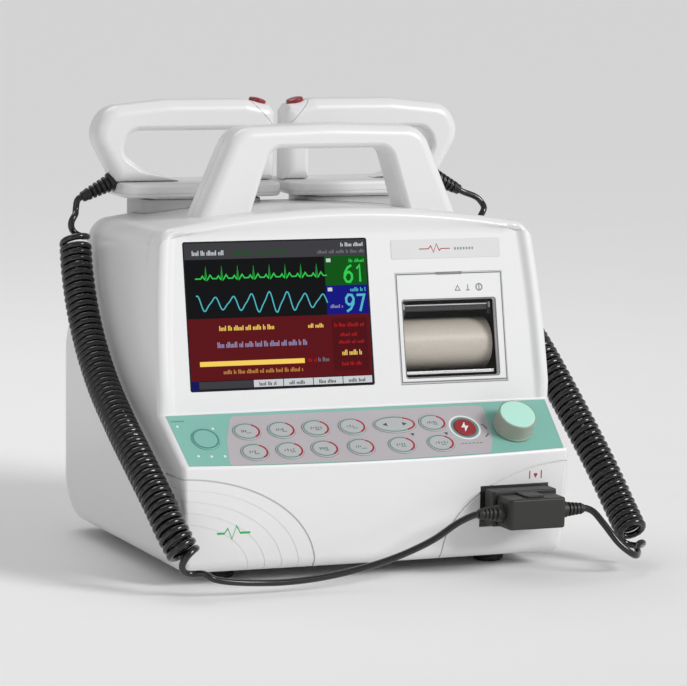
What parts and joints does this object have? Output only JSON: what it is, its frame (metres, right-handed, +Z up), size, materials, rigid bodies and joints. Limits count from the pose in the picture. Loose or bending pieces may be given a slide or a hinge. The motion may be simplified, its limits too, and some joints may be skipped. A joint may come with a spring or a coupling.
{
  "type": "defibrillator",
  "caption": "Portable defibrillator and patient monitor with two docked hand paddles on curly cords, carrying handle, key panel and chart printer.",
  "frame": {"origin": "centre of the case's footprint, on the surface that the feet stand on", "axes": "+X to the right of somebody facing the screen, +Y towards the back, +Z up"},
  "size_m": [0.4778, 0.372, 0.4018],
  "materials": {
    "white_plastic": "satin moulded",
    "grey_plastic": "fine texture",
    "teal_film": "printed film, satin",
    "key_film": "embossed film",
    "mint_plastic": "satin",
    "knob_plastic": "satin",
    "red_plastic": "satin",
    "red_film": "embossed film",
    "black_plastic": "fine texture",
    "rubber": "matte",
    "cord_jacket": "glossy",
    "display_glass": "gloss",
    "window_clear": "gloss",
    "steel": "brushed",
    "paper": "matte paper",
    "board": "solder mask",
    "capacitor_sleeve": "satin sleeve"
  },
  "bodies": {
    "root": {"front_bezel": "white_plastic", "rear_shell": "white_plastic", "base_plate": "grey_plastic", "foot_front_left": "rubber", "foot_rear_left": "rubber", "foot_front_right": "rubber", "foot_rear_right": "rubber", "carry_handle": "white_plastic", "display_window": "display_glass", "lcd_module": "grey_plastic", "control_overlay": "teal_film", "control_board": "board", "printer_bay": "black_plastic", "print_head": "steel", "left_paddle_dock": "grey_plastic", "right_paddle_dock": "grey_plastic", "left_curly_cord": "cord_jacket", "left_lead": "cord_jacket", "right_curly_cord": "cord_jacket", "right_lead": "cord_jacket", "paddle_connector": "rubber", "paddle_socket": "black_plastic", "mains_inlet": "black_plastic", "main_board": "board", "charge_module": "grey_plastic", "energy_capacitor": "capacitor_sleeve"},
    "left_paddle": {"left_paddle_grip": "white_plastic", "left_paddle_end_cap": "white_plastic", "left_paddle_electrode_housing": "white_plastic", "left_paddle_electrode": "steel", "left_paddle_strain_relief": "rubber"},
    "left_discharge_button": {"left_paddle_discharge_button": "red_plastic"},
    "right_paddle": {"right_paddle_grip": "white_plastic", "right_paddle_end_cap": "white_plastic", "right_paddle_electrode_housing": "white_plastic", "right_paddle_electrode": "steel", "right_paddle_strain_relief": "rubber"},
    "right_discharge_button": {"right_paddle_discharge_button": "red_plastic"},
    "key_1_1": {"key_1_1": "key_film"},
    "key_1_2": {"key_1_2": "key_film"},
    "key_1_3": {"key_1_3": "key_film"},
    "key_1_4": {"key_1_4": "key_film"},
    "key_1_5": {"key_1_5": "key_film"},
    "key_1_6": {"key_1_6": "key_film"},
    "key_2_1": {"key_2_1": "key_film"},
    "key_2_2": {"key_2_2": "key_film"},
    "key_2_3": {"key_2_3": "key_film"},
    "key_2_4": {"key_2_4": "key_film"},
    "key_2_5": {"key_2_5": "key_film"},
    "key_2_6": {"key_2_6": "key_film"},
    "shock_key": {"shock_key": "red_film"},
    "power_key": {"power_key": "teal_film"},
    "energy_knob": {"energy_knob": "knob_plastic", "knob_cap": "mint_plastic"},
    "printer_door": {"printer_door": "white_plastic", "door_window": "window_clear"},
    "platen": {"platen_roller": "rubber"},
    "paper_roll": {"paper_roll": "paper"},
    "battery": {"battery_pack": "grey_plastic"}
  },
  "joints": [
    {"name": "left_paddle_lift", "type": "slide", "parent": "root", "child": "left_paddle", "axis": [0, 0, 1], "range_m": [0, 0.12]},
    {"name": "left_discharge_press", "type": "slide", "parent": "left_paddle", "child": "left_discharge_button", "axis": [-0.2571, 0, -0.9664], "range_m": [0, 0.0025], "stiffness_N_per_m": 800},
    {"name": "right_paddle_lift", "type": "slide", "parent": "root", "child": "right_paddle", "axis": [0, 0, 1], "range_m": [0, 0.12]},
    {"name": "right_discharge_press", "type": "slide", "parent": "right_paddle", "child": "right_discharge_button", "axis": [0.2571, 0, -0.9664], "range_m": [0, 0.0025], "stiffness_N_per_m": 800},
    {"name": "key_1_1_press", "type": "slide", "parent": "root", "child": "key_1_1", "axis": [0, 0.5934, -0.8049], "range_m": [0, 0.001], "stiffness_N_per_m": 1500},
    {"name": "key_1_2_press", "type": "slide", "parent": "root", "child": "key_1_2", "axis": [0, 0.5934, -0.8049], "range_m": [0, 0.001], "stiffness_N_per_m": 1500},
    {"name": "key_1_3_press", "type": "slide", "parent": "root", "child": "key_1_3", "axis": [0, 0.5934, -0.8049], "range_m": [0, 0.001], "stiffness_N_per_m": 1500},
    {"name": "key_1_4_press", "type": "slide", "parent": "root", "child": "key_1_4", "axis": [0, 0.5934, -0.8049], "range_m": [0, 0.001], "stiffness_N_per_m": 1500},
    {"name": "key_1_5_press", "type": "slide", "parent": "root", "child": "key_1_5", "axis": [0, 0.5934, -0.8049], "range_m": [0, 0.001], "stiffness_N_per_m": 1500},
    {"name": "key_1_6_press", "type": "slide", "parent": "root", "child": "key_1_6", "axis": [0, 0.5934, -0.8049], "range_m": [0, 0.001], "stiffness_N_per_m": 1500},
    {"name": "key_2_1_press", "type": "slide", "parent": "root", "child": "key_2_1", "axis": [0, 0.5934, -0.8049], "range_m": [0, 0.001], "stiffness_N_per_m": 1500},
    {"name": "key_2_2_press", "type": "slide", "parent": "root", "child": "key_2_2", "axis": [0, 0.5934, -0.8049], "range_m": [0, 0.001], "stiffness_N_per_m": 1500},
    {"name": "key_2_3_press", "type": "slide", "parent": "root", "child": "key_2_3", "axis": [0, 0.5934, -0.8049], "range_m": [0, 0.001], "stiffness_N_per_m": 1500},
    {"name": "key_2_4_press", "type": "slide", "parent": "root", "child": "key_2_4", "axis": [0, 0.5934, -0.8049], "range_m": [0, 0.001], "stiffness_N_per_m": 1500},
    {"name": "key_2_5_press", "type": "slide", "parent": "root", "child": "key_2_5", "axis": [0, 0.5934, -0.8049], "range_m": [0, 0.001], "stiffness_N_per_m": 1500},
    {"name": "key_2_6_press", "type": "slide", "parent": "root", "child": "key_2_6", "axis": [0, 0.5934, -0.8049], "range_m": [0, 0.001], "stiffness_N_per_m": 1500},
    {"name": "shock_key_press", "type": "slide", "parent": "root", "child": "shock_key", "axis": [0, 0.5934, -0.8049], "range_m": [0, 0.001], "stiffness_N_per_m": 1500},
    {"name": "power_key_press", "type": "slide", "parent": "root", "child": "power_key", "axis": [0, 0.5934, -0.8049], "range_m": [0, 0.001], "stiffness_N_per_m": 1500},
    {"name": "energy_knob_turn", "type": "hinge", "parent": "root", "child": "energy_knob", "pos_m": [0.136, -0.13393, 0.12231], "axis": [0, -0.5934, 0.8049], "continuous": true},
    {"name": "printer_door_hinge", "type": "hinge", "parent": "root", "child": "printer_door", "pos_m": [0.0941, -0.09922, 0.16223], "axis": [1, 0, 0], "range_deg": [0, 85]},
    {"name": "platen_turn", "type": "hinge", "parent": "printer_door", "child": "platen", "pos_m": [0.0929, -0.07583, 0.23457], "axis": [1, 0, 0], "continuous": true},
    {"name": "paper_roll_turn", "type": "hinge", "parent": "root", "child": "paper_roll", "pos_m": [0.0929, -0.0644, 0.1904], "axis": [1, 0, 0], "continuous": true},
    {"name": "battery_slide", "type": "slide", "parent": "root", "child": "battery", "axis": [0, 1, 0], "range_m": [0, 0.17]}
  ],
  "couplings": [
    {"joint": "platen_turn", "follows": "paper_roll_turn", "ratio": 4.1818}
  ]
}
